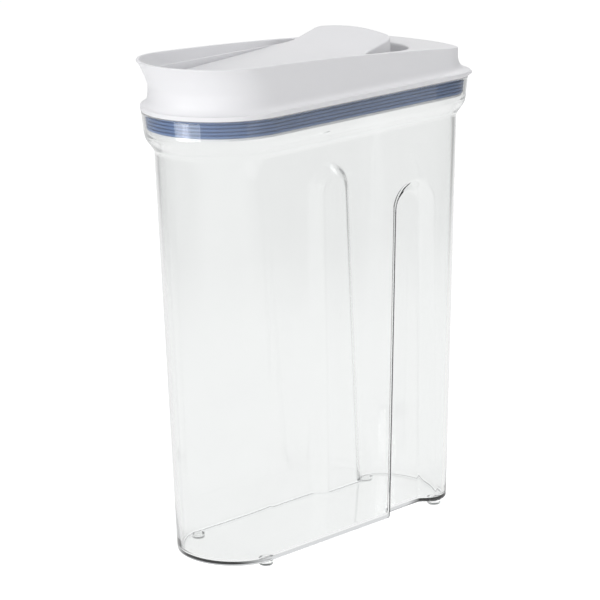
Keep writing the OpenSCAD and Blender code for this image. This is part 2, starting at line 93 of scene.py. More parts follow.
class BodySettings(PropertyGroup):
    foot: length("Foot height", "Height of the feet that carry the body", 3.2)
    width: length("Base width", "Width of the body at its base", 68.8)
    depth: length("Base length", "Length of the body at its base", 198)
    shift: length("Base shift", "How far the middle of the base lies in front of the origin", 1.1)
    height: length("Height", "From the underside of the body to its rim", 267.8)
    front: length("Front depth", "Depth of the rounded front at the base", 31.3)
    corner: length("Rear corners", "Radius of the rear corners at the base", 13)
    lean: angle("Draft", "Outward lean of the side walls", 1.17)
    end_lean: angle("End Draft", "Outward lean of the front and the rear", 1.96)
    wall: length("Wall", "Thickness of the walls", 2.2)
    floor: length("Floor", "Thickness of the floor", 2)
    collar: length("Collar", "How far the collar stands out at the rim", 6.4)
    collar_foot: length("Collar foot", "How far the foot of the collar stands out", 5.2)
    collar_h: length("Collar height", "Height of the straight part of the collar", 14)
    shoulder_h: length("Shoulder height", "Height of the rounded shoulder", 11)
    collar_wall: length("Collar wall", "Thickness of the collar", 1.8)
    recess_w: length("Recess width", "Width of a grip recess at the base", 45)
    arch_w: length("Arch width", "Width of a grip recess at its arch", 37.8)
    recess_depth: length("Recess depth", "Depth of a grip recess", 6.8)
    recess_slope: length("Recess slope", "Width of the sloping sides of a recess", 9.5)
    recess_top: length("Recess top", "Height of the arch above the underside", 211.2)
    recess_back: length("Recess place", "Distance from the rear of the base to the recesses", 43.9)
    tint: colour("Tint", "Colour of the clear plastic", (0.945, 0.953, 0.95))
    haze: factor("Haze", "Roughness of the clear plastic", 0.02)


class LidSettings(PropertyGroup):
    white: colour("White", "Colour of the white mouldings", (0.83, 0.83, 0.85))
    gloss: factor("Roughness", "Roughness of the white mouldings", 0.38)
    seal: colour("Seal", "Colour of the gasket and the flap seal", (0.145, 0.225, 0.42))
    ribs: IntProperty(name="Ribs", description="Number of ribs on the gasket", default=5, min=1, max=9)


class StudioSettings(PropertyGroup):
    floor: colour("Floor", "Colour of the floor", (0.9, 0.9, 0.9))
    light: factor("Light", "Strength of the studio light", 1.0, 4.0)


# ---- plan outlines, all in metres ----


def smooth(t):
    """0 up to t = 0, 1 from t = 1 on, with a soft start and end."""
    c = min(1.0, max(0.0, t))
    return c * c * (3 - 2 * c)


SWEEP = math.radians(62)  # turn of a rear corner
POINTS = (36, 12, 8)  # steps along half the front, a rear corner and half the rear


def rear_curve(w, rear, r):
    """Radius of the shallow rear curve, its centre, and where the straight side ends."""
    rb = (w - r + r * math.cos(SWEEP)) / math.cos(SWEEP)
    return rb, rear - rb, rear - rb + (rb - r) * math.sin(SWEEP)


def half_plan(w, yf, front, rear, r, lip=0.0, side=(), n=POINTS):
    """Half outline from the middle of the front round +X to the middle of the rear: a half-elliptical
    front, straight sides, round corners and a shallow curved rear that lip pushes out."""
    rb, yb, yc = rear_curve(w, rear, r)
    xc = w - r
    pts = []
    for k in range(n[0] + 1):
        t = math.pi / 2 * k / n[0]
        pts.append((w * math.sin(t), yf - front * math.cos(t)))
    pts += [(w, y) for y in side]
    for k in range(n[1] + 1):
        t = SWEEP * k / n[1]
        p = r + lip * smooth(t / math.radians(45))
        pts.append((xc + p * math.cos(t), yc + p * math.sin(t)))
    for k in range(1, n[2] + 1):
        t = SWEEP + (math.pi / 2 - SWEEP) * k / n[2]
        pts.append(((rb + lip) * math.cos(t), yb + (rb + lip) * math.sin(t)))
    return pts


def whole(half):
    """The whole outline from its half on +X."""
    return half + [(-x, y) for x, y in half[-2:0:-1]]


def loft(rings, looped=False, capped=True):
    """Points and faces of a skin through rings of equal length."""
    n, m = len(rings[0]), len(rings)
    verts = [p for ring in rings for p in ring]
    faces = []
    for j in range(m if looped else m - 1):
        a, b = j * n, (j + 1) % m * n
        for i in range(n):
            k = (i + 1) % n
            faces.append((a + i, a + k, b + k, b + i))
    if capped and not looped:
        faces.append(tuple(range(n - 1, -1, -1)))
        faces.append(tuple((m - 1) * n + i for i in range(n)))
    return verts, faces


def make_piece(name, verts, faces, material, body, sharp=40):
    """A piece that rides on a body, smooth shaded apart from edges over sharp degrees."""
    mesh = bpy.data.meshes.new(name)
    mesh.from_pydata(verts, [], faces)
    mesh.validate()
    mesh.materials.append(material)
    for p in mesh.polygons:
        p.use_smooth = True
    mesh.set_sharp_from_angle(angle=math.radians(sharp))
    obj = bpy.data.objects.new(name, mesh)
    bpy.context.scene.collection.objects.link(obj)
    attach(obj, body)
    return obj


def steps(a, b, n):
    """The numbers from a to b in n equal steps."""
    return [a + (b - a) * k / n for k in range(n + 1)]


def fillet_part(h, foot, top):
    """Part of a concave fillet that still stands out at height h: 1 at its foot, 0 at its top."""
    u = (top - min(top, max(foot, h))) / (top - foot)
    return 1 - math.sqrt(1 - u * u)


# ---- container body ----

COLLAR_BEND = 1.5 * MM  # height of the steep strip at the collar's foot
COLLAR_STEP = 0.3 * MM  # how far that strip leans out


class Body:
    """The body's surfaces, from the settings."""

    def __init__(self, b):
        self.b = b
        self.tan, self.end_tan = math.tan(b.lean), math.tan(b.end_lean)
        self.front_y = b.front - b.depth / 2 - b.shift
        self.rear = b.depth / 2 - b.shift
        self.recess_y = self.rear - b.recess_back
        self.arch_r = b.arch_w / 2
        self.arch_z = b.recess_top - self.arch_r

    def half(self, z, grow, side=(), n=POINTS):
        """Half outline of the drafted body at height z, drawn out by grow."""
        b, off, end = self.b, z * self.tan + grow, z * self.end_tan + grow
        return half_plan(
            b.width / 2 + off, self.front_y, b.front + end, self.rear + end, b.corner + off, 0.0, side, n
        )

    def recess_half(self, z):
        """Half width of a recess at height z."""
        t = min(1.0, z / self.arch_z)
        return (self.b.recess_w * (1 - t) + self.b.arch_w * t) / 2

    def dent(self, y, z):
        """How deep the recess is at a point of the side."""
        b = self.b
        if z < self.arch_z:
            edge = self.recess_half(z) - abs(y - self.recess_y)
        else:
            edge = self.arch_r - math.hypot(y - self.recess_y, z - self.arch_z)
        return b.recess_depth * smooth(edge / b.recess_slope)

    def ring(self, z, flare=0.0, inset=0.0):
        """Outline of the body with its recesses, drawn out by flare and in by inset."""
        b = self.b
        first = self.recess_y - b.recess_w / 2
        side = [self.front_y + (first - self.front_y) * k / 8 for k in range(1, 8)]
        side += [self.recess_y + k / 20 * self.recess_half(z) for k in range(-20, 21)]
        out = []
        for x, y in whole(self.half(z, flare - inset, side)):
            in_x = abs(x) - self.dent(y, z)
            out.append((math.copysign(in_x, x) if x else 0.0, y, z + b.foot))
        return out

    def flare(self, z):
        """How far the outside stands out from the drafted wall at height z."""
        b = self.b
        foot = b.height - b.collar_h
        bend = foot + COLLAR_BEND
        if z <= foot:
            return b.collar_foot * smooth((z - foot + b.shoulder_h) / b.shoulder_h)
        if z <= bend:
            return b.collar_foot + COLLAR_STEP * (z - foot) / COLLAR_BEND
        out = b.collar_foot + COLLAR_STEP
        return out + (b.collar - out) * min(1, (z - bend) / (b.height - bend))


def body_levels(s):
    """Heights for the rings of the wall, close together where the shape turns."""
    b = s.b
    foot = b.height - b.collar_h
    shoulder, above = foot - b.shoulder_h, b.recess_top + 0.5 * MM
    low = steps(4 * MM, s.arch_z, 12)
    arch = steps(s.arch_z, above, 26)[1:]
    mid = steps(above, shoulder, 3)[1:]
    turn = steps(shoulder, foot, 16)[1:]
    rim = steps(foot + COLLAR_BEND, b.height - 1 * MM, 5)
    return low + arch + mid + turn + rim


def arc(r, n):
    """Points of a quarter turn as (sine, cosine) parts of r."""
    return [(r * math.sin(math.radians(a)), r * math.cos(math.radians(a))) for a in steps(0.0, 90.0, n)]


class CONTAINER_OT_body(Operator):
    """Build the clear body with its grip recesses and collar, raised to stand on the feet"""

    bl_idname = "container.body"
    bl_label = "Clear Body"

    def execute(self, context):
        b = context.scene.container_body
        s = Body(b)
        bottom, rim, inner_r = 1.6 * MM, 0.35 * MM, 2.2 * MM  # radii of the base, the rim and the inside
        margin = 4 * MM  # width of the flat faces' outer strips, beside those radii
        rings = [s.ring(0, 0, bottom + margin)]
        rings += [s.ring(bottom - c, 0, bottom - d) for d, c in arc(bottom, 6)]
        rings += [s.ring(z, s.flare(z)) for z in body_levels(s)]
        top = b.height - rim
        rings += [s.ring(top + d, b.collar, rim - c) for d, c in arc(rim, 4)]
        rings += [s.ring(top + c, b.collar, b.collar_wall - rim + d) for d, c in arc(rim, 4)]
        wall, foot = b.wall, b.height - b.collar_h
        shoulder, thicken = foot - b.shoulder_h, 3 * MM
        for z in reversed(body_levels(s)[2:]):
            raised = 0.4 * wall * smooth((z - shoulder) / thicken)
            thick = wall + (b.collar_wall - wall) * smooth((z - shoulder) / b.shoulder_h)
            rings.append(s.ring(z + raised if z <= foot else z, s.flare(z), thick))
        z0 = b.floor + inner_r
        rings += [s.ring(z0 - d, 0, wall + inner_r - c) for d, c in arc(inner_r, 6)]
        rings += [s.ring(b.floor, 0, wall + inner_r + margin)]
        body = make_piece("clear_body", *loft(rings), clear_plastic(), "container")
        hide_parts("container_body")
        return {"FINISHED"}


def feet(b):
    """Round button feet on the flat underside, drawn as one mesh."""
    radius, edge, n = 4.3 * MM, 1.5 * MM, 32
    sink, front, back, side = 0.2 * MM, 1 * MM, 19.4 * MM, 4.6 * MM
    profile = [(radius, b.foot + sink)] + [(radius - edge + c, edge - d) for d, c in arc(edge, 6)]
    profile.append((0.6 * MM, 0))
    s = Body(b)
    verts, faces = [], []
    for x in (side - b.width / 2, b.width / 2 - side):
        for y in (s.front_y - front, s.rear - back):
            base = len(verts)
            for r, z in profile:
                turns = [2 * math.pi * k / n for k in range(n)]
                verts += [(x + r * math.cos(a), y + r * math.sin(a), z) for a in turns]
            for j in range(len(profile) - 1):
                a = base + j * n
                for k in range(n):
                    q = (k + 1) % n
                    faces.append((a + q, a + k, a + n + k, a + n + q))
            last = base + (len(profile) - 1) * n
            faces.append(tuple(last + k for k in reversed(range(n))))
    return make_piece("button_feet", verts, faces, clear_plastic(), "container")


class CONTAINER_OT_feet(Operator):
    """Build the four moulded button feet"""

    bl_idname = "container.feet"
    bl_label = "Feet"

    def execute(self, context):
        obj = feet(context.scene.container_body)
        return {"FINISHED"}


# ---- lid ----


class Lid:
    """The lid's surfaces, from the settings of the body and the lid."""

    inset = 4.5 * MM  # from the flange in to the wall
    wall = 2 * MM
    flange = 2.6 * MM  # height, as the next two
    waist = 14 * MM
    rise = 30 * MM
    lip_out = 2.65 * MM  # how far the pouring lip stands out over the flange
    round_y = 80 * MM  # where the rounded front of the rim starts
    rear_inset = 7.2 * MM
    rear_fillet = 9.2 * MM  # height
    lift = 2.5 * MM  # how far the lift lip stands out, and the height of its edge
    lip_rise = 1.5 * MM
    gasket = 10.4 * MM  # height
    ledge = 0.4 * MM  # width, and height over the seat
    ledge_rise = 20.5 * MM
    arc_y = 33.2 * MM  # centre of the finger pocket
    edge = 0.6 * MM  # radii of the edges of the rim and of the deck
    deck_edge = 1.4 * MM
    neck = 14 * MM  # length over which the inside wall draws in to the pocket
    seat_gap = 0.5 * MM  # from the body's rim to the seat of the lid
    n = (40, 12, 8)

    def __init__(self, b):
        body = Body(b)
        seat = b.height + self.seat_gap
        over = b.collar + 0.25 * MM
        self.b, self.body = b, body
        self.seat = seat + b.foot
        self.w = b.width / 2 + seat * body.tan + over
        self.front = b.front + seat * body.end_tan + over
        self.rear = body.rear + seat * body.end_tan + over
        self.corner = b.corner + seat * body.tan + over
        self.front_y = body.front_y
        self.tip = self.front_y - self.front - self.lip_out
        self.front_inset = self.inset + 0.2 * MM
        self.fillet_top = self.flange + self.inset + 0.9 * MM
        self.arc_r = self.w - self.inset - self.wall - 1.8 * MM

    def side(self):
        """Places of the points along the straight side."""
        i = self.inset + self.wall + self.ledge
        rear = self.rear - self.rear_inset - self.wall - self.ledge
        end = rear_curve(self.w - i, rear, self.corner - i)[2]
        return [self.front_y + k * (end - self.front_y) / 40 for k in range(1, 40)]

    def rim_z(self, y):
        """Height of the rim, which falls and curves down towards the rear."""
        t, fall, radius = y - self.tip, 0.021, 2.69
        return self.seat + self.rise - fall * t - t * t / (2 * radius)

    def plan(self, w, yf, front, rear, r, lip=0.0):
        return whole(half_plan(w, yf, front, rear, r, lip, self.side(), self.n))

    def lower(self, h):
        """Outside of the lid at height h over the seat: flange, lift lip and the fillets over them."""
        rear_top, start = self.flange + self.rear_fillet, 0.6 * MM
        side = self.inset * (1 - fillet_part(h, self.flange, self.fillet_top))
        front = self.front_inset * (1 - fillet_part(h, self.flange, self.waist))
        turned = smooth((h + start) / (self.lip_rise + start))
        lip = self.lift * fillet_part(h, self.lip_rise, rear_top) * turned
        rear = self.rear - self.rear_inset * (1 - fillet_part(h, self.flange, rear_top))
        pts = self.plan(self.w - side, self.front_y, self.front - front, rear, self.corner - side, lip)
        return [(x, y, self.seat + h) for x, y in pts]

    def upper_plan(self, t, inset=0.0):
        """Outline of the wall from the waist, t = 0, to the rim, t = 1, whose front flares out."""
        f = 0.6 * t + 0.4 * t * t
        yf = self.front_y * (1 - f) - self.round_y * f
        front = (self.front - self.front_inset) * (1 - f) + (-self.tip - self.round_y) * f - inset
        i = self.inset + inset
        return self.plan(self.w - i, yf, front, self.rear - self.rear_inset - inset, self.corner - i)

    def upper(self, t, inset=0.0, drop=0.0):
        low = self.seat + self.waist
        pts = self.upper_plan(t, inset)
        return [(x, y, low * (1 - t) + (self.rim_z(y) - drop) * t) for x, y in pts]

    def bore(self, grow):
        """Outline of the skirt that carries the gasket, drawn out by grow."""
        z, gasket_and_gap = self.b.height + self.seat_gap - self.gasket, 3.1 * MM
        out = self.body.flare(z) - self.b.collar_wall - gasket_and_gap + grow
        return whole(self.body.half(z, out, self.side(), self.n))


def lid_rings(s):
    """Rings of the lid from under its flange, up the wall, over the rim and the rear deck, and down the
    inside wall and the finger pocket."""
    h = s.flange
    rings = [[(x, y, s.seat) for x, y in s.bore(0.15 * MM)]]
    rings += [s.lower(k * h / 6) for k in range(7)]
    rings += [s.lower(h + (s.waist - h) * (k / 16) ** 1.8) for k in range(1, 17)]
    rings += [s.upper(t, 0, s.edge) for t in steps(0, 0.97, 10)[1:]]
    rings += [s.upper(1, s.edge - c, s.edge - d) for d, c in arc(s.edge, 4)]
    # over the top: across the rim at the front, across the deck behind the flap
    outer, inner = s.upper_plan(1, s.edge), s.upper_plan(1, s.wall - s.edge)
    n, deck_x = len(outer), 30 * MM
    half = n // 2
    first = next(i for i in range(half + 1) if outer[i][0] > deck_x and outer[i][1] > s.arc_y)
    reach = [0.0]
    for i in range(first, half):
        reach.append(reach[-1] + math.dist(outer[i], outer[i + 1]))

    def pocket(i, grow):
        """Point of the deck's front edge that belongs to ring point i, or None ahead of the deck."""
        j = i if i <= half else n - i
        if j < first:
            return None
        a = math.pi / 2 * reach[j - first] / reach[-1]
        r = s.arc_r + grow
        x, y = r * math.cos(a), s.arc_y + r * math.sin(a)
        return (x if i <= half else -x, y)

    def pulled(p):
        """Point p of the inside wall, drawn in as it nears the deck."""
        x, y = p
        inwards = (s.w - s.inset - s.wall - s.arc_r) * smooth((y - s.arc_y + s.neck) / s.neck)
        return (math.copysign(max(0.0, abs(x) - inwards), x), y)

    def inside(flat, height, grow=0.0):
        """Ring through the plan flat at the front and the pocket's edge at the rear."""
        ring = []
        for i in range(n):
            edge = pocket(i, grow)
            x, y = edge or pulled(flat[i])
            ring.append((x, y, height(y, edge is None)))
        return ring

    for t in steps(0, 1, 10)[1:]:
        ring = []
        for i in range(n):
            q = pocket(i, s.deck_edge) or pulled(inner[i])
            x, y = (p * (1 - t) + c * t for p, c in zip(outer[i], q))
            ring.append((x, y, s.rim_z(y)))
        rings.append(ring)
    for d, c in arc(1.0, 5)[1:]:
        flat = s.upper_plan(1, s.wall - s.edge + s.edge * d)

        def rounded(y, front):
            return s.rim_z(y) - (s.edge if front else s.deck_edge) * (1 - c)

        rings.append(inside(flat, rounded, s.deck_edge * (1 - d)))
    part = (s.ledge_rise - s.waist) / (s.rise - s.waist)
    over, plate = 0.3 * MM, s.seat + 4.3 * MM

    def ledge(y, front=True):
        return min(s.seat + s.ledge_rise, s.rim_z(y) - 3.5 * MM)

    for t in steps(0, 1, 5)[1:]:
        flat = s.upper_plan(1 - t * (1 - part), s.wall)
        rings.append(
            inside(flat, lambda y, front: (s.rim_z(y) - s.deck_edge) * (1 - t) + (ledge(y) + over) * t)
        )
    step = s.upper_plan(part, s.wall + s.ledge)
    rings.append(inside(step, ledge))
    i = s.wall + s.ledge
    front, rear = s.front - s.front_inset - i, s.rear - s.rear_inset - i
    base = s.plan(s.w - s.inset - i, s.front_y, front, rear, s.corner - s.inset - i)
    for t in steps(0, 1, 5)[1:]:
        flat = [(p[0] * (1 - t) + q[0] * t, p[1] * (1 - t) + q[1] * t) for p, q in zip(step, base)]
        rings.append(inside(flat, lambda y, front: ledge(y) * (1 - t) + plate * t))
    return rings


class CONTAINER_OT_lid(Operator):
    """Build the lid's outer moulding with its flared rim, lift lip, rear deck and finger pocket"""

    bl_idname = "container.lid"
    bl_label = "Lid Shell"

    def execute(self, context):
        s = Lid(context.scene.container_body)
        skin = loft(lid_rings(s), looped=True)
        lid = make_piece("lid_moulding", *skin, white_plastic(), "lid", sharp=50)
        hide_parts("lid_shell")
        return {"FINISHED"}


class CONTAINER_OT_gasket(Operator):
    """Build the ribbed seal that fits the collar"""

    bl_idname = "container.gasket"
    bl_label = "Gasket"

    def execute(self, context):
        b = context.scene.container_body
        ribs = context.scene.container_lid.ribs
        s = Lid(b)
        high, rib, gap = s.gasket, 0.9 * MM, 0.3 * MM
        low = b.height + s.seat_gap - high

        def ring(z, deep):
            """Outline at z above the gasket's lower edge, deep inside the tops of the ribs."""
            out = s.body.flare(low + z) - b.collar_wall - gap - deep
            pts = whole(s.body.half(low + z, out, s.side(), s.n))
            return [(x, y, s.seat - high + z) for x, y in pts]

        rings = [[(x, y, s.seat - high) for x, y in s.bore(0)]]
        n = 12
        for k in range(ribs * n + 1):
            t = k / n
            groove = (0.5 + 0.5 * math.cos(2 * math.pi * t)) ** 2.5
            z = high * t / ribs
            rings.append(ring(z, rib * groove))
        rings.append([(x, y, s.seat) for x, y in s.bore(0)])
        skin = loft(rings, looped=True)
        obj = make_piece("ribbed_gasket", *skin, gasket_rubber(), "lid", sharp=60)
        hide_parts("lid_gasket")
        return {"FINISHED"}


# ---- flap ----


class Flap:
    """The flap's surface, from the lid's."""

    rise = 20.1 * MM  # height of the top's edge over the seat
    slope = 0.058
    crown = 1 * MM
    thick = 2.2 * MM
    edge_h = 4.2 * MM  # height of the sides
    edge_r = 1.6 * MM
    end = 43 * MM  # rear end, its corners and how far its middle bows out
    corner = 5 * MM
    bow = 1.5 * MM
    start = 10 * MM  # where the tail starts, how steeply it turns up, and how softly
    tail_slope = 0.22
    bend = 6 * MM
    tail_crown = 2.1 * MM
    tail_step = 7 * MM  # how much narrower the tail is on each side
    floor = 19.6 * MM  # greatest height of the lower edge over the seat
    front_gap, side_gap = 1.6 * MM, 1.2 * MM
    strips, turns = 20, 5  # strips on each half of the top, and of the rounded edge

    def __init__(self, lid):
        self.lid = lid
        self.front = lid.front - lid.front_inset - lid.wall - lid.ledge - self.front_gap
        self.w = lid.w - lid.inset - lid.wall - lid.ledge - self.side_gap
        self.tail_w = self.w - self.tail_step
        self.corner_y = self.end - self.corner

    def edge(self, y):
        """Height of the top's edge over the seat, which turns up into the tail."""
        t = y - self.start
        return self.rise + self.slope * y + self.tail_slope * (t + math.hypot(t, self.bend)) / 2

    def top(self, u, y):
        """Height of the crowned top at the part u of the half width."""
        k = self.crown + (self.tail_crown - self.crown) * smooth((y - self.start) / self.corner_y)
        return self.edge(y) + (1 - u * u) * k

    def width(self, y):
        """Half width behind the rounded front, narrower at the tail, with round corners."""
        t = max(0.0, min(1.0, (y - self.corner_y) / self.corner))
        ahead, length = 3 * MM, 15 * MM
        neck = smooth((y - self.start + ahead) / length)
        return self.w + (self.tail_w - self.w) * neck - self.corner * (1 - math.sqrt(1 - t * t))

    def stations(self):
        """Distance, half width and whether it is hollow there, from front to rear."""
        fy, front, rear = self.lid.front_y, 36, 12  # steps round the front and the rear corners
        first_hollow, last_hollow = 10, 4
        out = []
        for k in range(1, front + 1):
            t = math.radians(90 * k / front)
            out.append((fy - self.front * math.cos(t), self.w * math.sin(t), k >= first_hollow))
        out += [(y, self.width(y), True) for y in steps(fy, 0, 12)[1:]]
        out += [(y, self.width(y), True) for y in steps(0, self.corner_y, 30)[1:]]
        for k in range(1, rear + 1):
            y = self.corner_y + self.corner * math.sin(math.radians(90 * k / rear))
            out.append((y, self.width(y), k <= last_hollow))
        return out

    def section(self, y, w, hollow):
        """Closed section across the flap: top, rounded edge, side, underside, side, rounded edge."""
        n, r = self.strips, min(self.edge_r, w / 3)
        wt, wi = w - r, w - min(self.thick, w / 2)
        foot = min(self.edge(y) - self.edge_h, self.floor)
        top = [(k / n * wt, self.top(k / n * wt / w, y)) for k in range(-n, n + 1)]
        turn = [(wt + d * r, self.top(1, y) - self.edge_r * (1 - c)) for d, c in arc(1.0, self.turns)[1:]]
        side = turn + [(w, foot)]
        if hollow:
            under = [(k / n * wi, self.top(k / n * wi / w, y) - self.thick) for k in range(n, -n - 1, -1)]
        else:  # filled: flat underneath, narrower than the foot of the sides
            under = [(0.9 * k / n * wi, foot) for k in range(n, -n - 1, -1)]
        pts = top + side + [(wi, foot)] + under + [(-wi, foot)] + [(-x, z) for x, z in reversed(side)]
        bow_y = 22 * MM
        bow = self.bow * smooth((y - bow_y) / (self.end - bow_y))
        return [(x, y + bow * (1 - (x / w) ** 2), self.lid.seat + z) for x, z in pts]

    def end_walls(self, base, flip):
        """Faces that close the section whose first point is base, in strips from top to underside."""
        top = 2 * self.strips
        under = top + self.turns + 3
        last = under + top
        walls = [(k, k + 1, last - k - 1, last - k) for k in range(top)]
        walls += [range(top, under + 1), (0, *range(last, last + self.turns + 3))]
        walls = [tuple(base + i for i in wall) for wall in walls]
        return [wall[::-1] for wall in walls] if flip else walls


class CONTAINER_OT_flap(Operator):
    """Build the see-saw flap with its raised thumb tail"""

    bl_idname = "container.flap"
    bl_label = "Flap"

    def execute(self, context):
        s = Flap(Lid(context.scene.container_body))
        rings = [s.section(*p) for p in s.stations()]
        verts, faces = loft(rings, capped=False)
        faces += s.end_walls(0, False) + s.end_walls(len(verts) - len(rings[0]), True)
        obj = make_piece("flap_moulding", verts, faces, white_plastic(), "flap", 50)
        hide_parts("flap_cover")
        return {"FINISHED"}


# ---- finishes ----


def node_group(name, inputs, outputs):
    """An empty shader group with its sockets, and its input and output nodes."""
    group = bpy.data.node_groups.new(name, "ShaderNodeTree")
    for label, kind, value in inputs:
        socket = group.interface.new_socket(label, in_out="INPUT", socket_type=kind)
        if value is not None:
            socket.default_value = value
    for label, kind in outputs:
        group.interface.new_socket(label, in_out="OUTPUT", socket_type=kind)
    return group, group.nodes.new("NodeGroupInput"), group.nodes.new("NodeGroupOutput")


def add(tree, kind, values=(), **props):
    """A node with its properties, and its inputs as {name or number: value or socket}."""
    node = tree.nodes.new(kind)
    for key, value in props.items():
        setattr(node, key, value)
    for key, value in dict(values).items():
        if isinstance(value, bpy.types.NodeSocket):
            tree.links.new(value, node.inputs[key])
        else:
            node.inputs[key].default_value = value
    return node


def maths(tree, operation, *values):
    """Output of a maths node on sockets or numbers."""
    return add(tree, "ShaderNodeMath", dict(enumerate(values)), operation=operation).outputs[0]


def ranged(tree, value, low, high, start=0.0, end=1.0):
    """Output that runs from start to end while the value runs from low to high."""
    limits = {"From Min": low, "From Max": high, "To Min": start, "To Max": end}
    return add(tree, "ShaderNodeMapRange", {"Value": value, **limits}).outputs[0]


def scaled(tree, colour, part):
    """Output of a colour times part."""
    return add(tree, "ShaderNodeVectorMath", {0: colour, "Scale": part}, operation="SCALE").outputs[0]


def noise(tree, where, scale, detail, **more):
    """Output of a noise texture."""
    values = {"Vector": where, "Scale": scale, "Detail": detail, **more}
    return add(tree, "ShaderNodeTexNoise", values).outputs["Fac"]


def blend(tree, part, first, second):
    """Output of the colour first where part is 0 and second where it is 1."""
    values = {"Factor": part, 6: first, 7: second}
    return add(tree, "ShaderNodeMix", values, data_type="RGBA").outputs[2]


def either(tree, part, first, second):
    """Output of the shader first where part is 0 and second where it is 1."""
    return add(tree, "ShaderNodeMixShader", {0: part, 1: first, 2: second}).outputs[0]


def stops(tree, value, *colours):
    """Output that runs through colours, each given with its place, as the value rises."""
    node = add(tree, "ShaderNodeValToRGB", {0: value})
    elements = node.color_ramp.elements
    for k, (where, shade) in enumerate(colours):
        element = elements[k] if k < 2 else elements.new(where)
        element.position = where
        element.color = (*shade, 1)
    return node.outputs[0]


def object_place(tree):
    return add(tree, "ShaderNodeTexCoord").outputs["Object"]


def axes(tree, vector):
    """The X, Y and Z outputs of a vector."""
    return add(tree, "ShaderNodeSeparateXYZ", {0: vector}).outputs


def moulded_grain():
    """Fine grain of a moulded surface: a slight change of shade, roughness and height."""
    if "Moulded Grain" in bpy.data.node_groups:
        return bpy.data.node_groups["Moulded Grain"]
    g, a, z = node_group(
        "Moulded Grain",
        [
            ("Colour", "NodeSocketColor", None),
            ("Roughness", "NodeSocketFloat", 0.4),
            ("Grain Scale", "NodeSocketFloat", 2500.0),
            ("Shade", "NodeSocketFloat", 0.03),
            ("Roughness Change", "NodeSocketFloat", 0.06),
        ],
        [("Colour", "NodeSocketColor"), ("Roughness", "NodeSocketFloat"), ("Height", "NodeSocketFloat")],
    )
    where = object_place(g)
    given = a.outputs
    fine = noise(g, where, given["Grain Scale"], 2.0)
    broad = noise(g, where, 28.0, 3.0, Roughness=0.6)
    shade = ranged(g, broad, 0.3, 0.7, maths(g, "SUBTRACT", 1.0, given["Shade"]), 1.0)
    change = maths(g, "ADD", broad, -0.5)
    rough = maths(g, "MULTIPLY_ADD", change, given["Roughness Change"], given["Roughness"])
    g.links.new(scaled(g, given["Colour"], shade), z.inputs["Colour"])
    g.links.new(rough, z.inputs["Roughness"])
    g.links.new(fine, z.inputs["Height"])
    return g


def grained(tree, colour, rough, scale, shade, change):
    """Outputs of the moulded grain in a material."""
    values = {
        "Colour": (*colour, 1),
        "Roughness": rough,
        "Grain Scale": scale,
        "Shade": shade,
        "Roughness Change": change,
    }
    return add(tree, "ShaderNodeGroup", values, node_tree=moulded_grain()).outputs


def new_material(name):
    mat = bpy.data.materials.new(name)
    mat.use_nodes = True
    mat.node_tree.nodes.clear()
    return mat, mat.node_tree


def moulded(name, base, rough, scale, shade, bump, change=0.06):
    """Opaque moulded plastic or rubber."""
    if name in bpy.data.materials:
        return bpy.data.materials[name]
    mat, t = new_material(name)
    grain = grained(t, base, rough, scale, shade, change)
    relief = add(t, "ShaderNodeBump", {"Height": grain["Height"], "Strength": bump, "Distance": 0.02 * MM})
    shader = add(
        t,
        "ShaderNodeBsdfPrincipled",
        {
            "Base Color": grain["Colour"],
            "Roughness": grain["Roughness"],
            "Normal": relief.outputs["Normal"],
            "IOR": 1.5,
        },
    )
    add(t, "ShaderNodeOutputMaterial", {"Surface": shader.outputs[0]})
    mat.diffuse_color = (*base, 1)
    return mat


def white_plastic():
    lid = bpy.context.scene.container_lid
    return moulded("white_moulding", lid.white[:], lid.gloss, scale=2200, shade=0.012, bump=0.25)


def liner_plastic():
    lid = bpy.context.scene.container_lid
    duller = [0.95 * c for c in lid.white]
    return moulded("matt_moulding", duller, 0.5, scale=1600, shade=0.03, bump=0.4)


def seal_rubber():
    lid = bpy.context.scene.container_lid
    return moulded("silicone_seal", lid.seal[:], 0.36, scale=1200, shade=0.12, bump=0.5, change=0.12)


def gasket_rubber():
    """The seal's rubber, with painted shade that darkens its colour in the grooves between the ribs."""
    if "gasket_rubber" in bpy.data.materials:
        return bpy.data.materials["gasket_rubber"]
    mat = seal_rubber().copy()
    mat.name = "gasket_rubber"
    t = mat.node_tree
    s = Lid(bpy.context.scene.container_body)
    groove = 0.6  # painted shade: brightness of the colour in the depth of a groove
    turn = 2 * math.pi * bpy.context.scene.container_lid.ribs / s.gasket
    height = axes(t, object_place(t))["Z"]
    groove_shade_wave = maths(t, "COSINE", maths(t, "MULTIPLY_ADD", height, turn, -turn * (s.seat - s.gasket)))
    grain = next(n for n in t.nodes if n.type == "GROUP")
    shader = next(n for n in t.nodes if n.type == "BSDF_PRINCIPLED")
    # painted shade: the base colour is darkened in the grooves, where shade would fall
    tone = scaled(t, grain.outputs["Colour"], ranged(t, groove_shade_wave, 0.0, 1.0, 1.0, groove))
    t.links.new(tone, shader.inputs["Base Color"])
    return mat


def pin_steel():
    """Drawn steel wire, with fine lines along it."""
    if "drawn_steel" in bpy.data.materials:
        return bpy.data.materials["drawn_steel"]
    mat, t = new_material("drawn_steel")
    along = {"Vector": object_place(t), "Scale": (20, 3000, 3000)}
    lines = noise(t, add(t, "ShaderNodeMapping", along).outputs[0], 1.0, 2.0)
    relief = add(t, "ShaderNodeBump", {"Height": lines, "Strength": 0.3, "Distance": 0.01 * MM})
    shader = add(
        t,
        "ShaderNodeBsdfPrincipled",
        {
            "Base Color": blend(t, lines, (0.56, 0.56, 0.58, 1), (0.68, 0.68, 0.7, 1)),
            "Roughness": ranged(t, lines, 0.0, 1.0, 0.2, 0.42),
            "Metallic": 1.0,
            "Normal": relief.outputs[0],
        },
    )
    add(t, "ShaderNodeOutputMaterial", {"Surface": shader.outputs[0]})
    return mat


